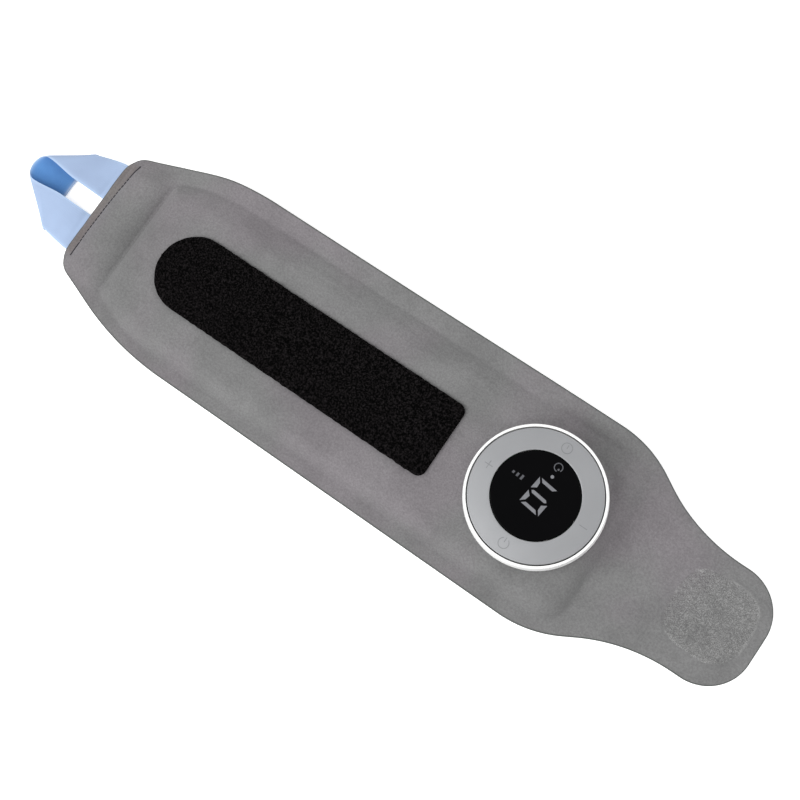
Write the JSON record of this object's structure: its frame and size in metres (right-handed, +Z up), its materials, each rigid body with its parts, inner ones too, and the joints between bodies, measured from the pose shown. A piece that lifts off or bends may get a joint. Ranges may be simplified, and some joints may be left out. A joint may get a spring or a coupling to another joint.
{
  "type": "hot cold therapy machine",
  "caption": "Padded fabric therapy belt with a round key-ring controller, loop-fastener patch, elastic strap loop and folding hook-fastener tab.",
  "frame": {"origin": "on the belt's skin side, which is its rest face, on the belt's centre line and level with the controller, whose axis is 1 mm to +Y", "axes": "+X along the belt towards the folding tab, +Y across the belt, +Z up, away from the skin"},
  "size_m": [0.3954, 0.0964, 0.0228],
  "materials": {
    "cover_fabric": "suede-like laminate",
    "lining_fabric": "brushed lining",
    "loop_tape": "loop pile",
    "hook_tape": "hook tape",
    "elastic_band": "woven elastic",
    "thread": "sewing thread",
    "foam": "open-cell foam",
    "gel": "sealed gel pouch",
    "film": "polyimide film",
    "trace": "etched foil",
    "sensor": "epoxy",
    "lead": "insulated lead",
    "connector": "moulded nylon",
    "plate": "moulded",
    "screw": "zinc plated",
    "white_shell": "semi-gloss moulded",
    "frame_plastic": "moulded",
    "gimbal": "moulded acetal",
    "silver_ring": "satin anodised",
    "black_lens": "tinted gloss",
    "diffuser": "light diffuser",
    "mask": "moulded",
    "board": "circuit laminate",
    "header": "moulded",
    "switch": "moulded",
    "plunger": "moulded",
    "cell": "laminate pouch",
    "socket": "stamped steel"
  },
  "bodies": {
    "belt": {"front_cover": "cover_fabric", "back_cover": "lining_fabric", "loop_patch": "loop_tape", "strap_tongues": "elastic_band", "end_stitches": "thread", "foam_pad": "foam", "gel_pack": "gel", "heating_film": "film", "heater_trace": "trace", "temp_sensor": "sensor", "heater_lead": "lead", "lead_plug": "connector", "clamp_plate": "plate", "clamp_screws": "screw", "housing": "white_shell", "chassis": "frame_plastic", "chassis_screws": "screw", "display_lens": "black_lens", "digit_segments": "diffuser", "display_mask": "mask", "display_board": "board", "board_header": "header", "main_board": "board", "switch_bodies": "switch", "battery": "cell", "usb_socket": "socket"},
    "tab": {"front_tail": "cover_fabric", "back_tail": "lining_fabric", "hook_disc": "hook_tape"},
    "strap": {"strap_loop": "elastic_band"},
    "gimbal": {"gimbal_ring": "gimbal"},
    "key_ring": {"control_ring": "silver_ring"},
    "key_plus": {"plunger_plus": "plunger"},
    "key_minus": {"plunger_minus": "plunger"},
    "key_power": {"plunger_power": "plunger"},
    "key_mode": {"plunger_mode": "plunger"}
  },
  "joints": [
    {"name": "tab_fold", "type": "hinge", "parent": "belt", "child": "tab", "pos_m": [0.05, 0, 0.0012], "axis": [0, -1, 0], "range_deg": [-90, 90]},
    {"name": "strap_fold", "type": "hinge", "parent": "belt", "child": "strap", "pos_m": [-0.2488, 0.001, 0.0012], "axis": [0, 1, 0], "range_deg": [-90, 90]},
    {"name": "rock_power_mode", "type": "hinge", "parent": "belt", "child": "gimbal", "pos_m": [0, 0.001, 0.01991], "axis": [1, 0, 0], "range_deg": [-1.2, 1.2], "stiffness_Nm_per_rad": 1.5},
    {"name": "rock_plus_minus", "type": "hinge", "parent": "gimbal", "child": "key_ring", "pos_m": [0, 0.001, 0.01991], "axis": [0, 1, 0], "range_deg": [-1.2, 1.2], "stiffness_Nm_per_rad": 1.5},
    {"name": "press_plus", "type": "slide", "parent": "belt", "child": "key_plus", "axis": [0, 0, -1], "range_m": [0, 0.00025], "stiffness_N_per_m": 4000},
    {"name": "press_minus", "type": "slide", "parent": "belt", "child": "key_minus", "axis": [0, 0, -1], "range_m": [0, 0.00025], "stiffness_N_per_m": 4000},
    {"name": "press_power", "type": "slide", "parent": "belt", "child": "key_power", "axis": [0, 0, -1], "range_m": [0, 0.00025], "stiffness_N_per_m": 4000},
    {"name": "press_mode", "type": "slide", "parent": "belt", "child": "key_mode", "axis": [0, 0, -1], "range_m": [0, 0.00025], "stiffness_N_per_m": 4000}
  ]
}
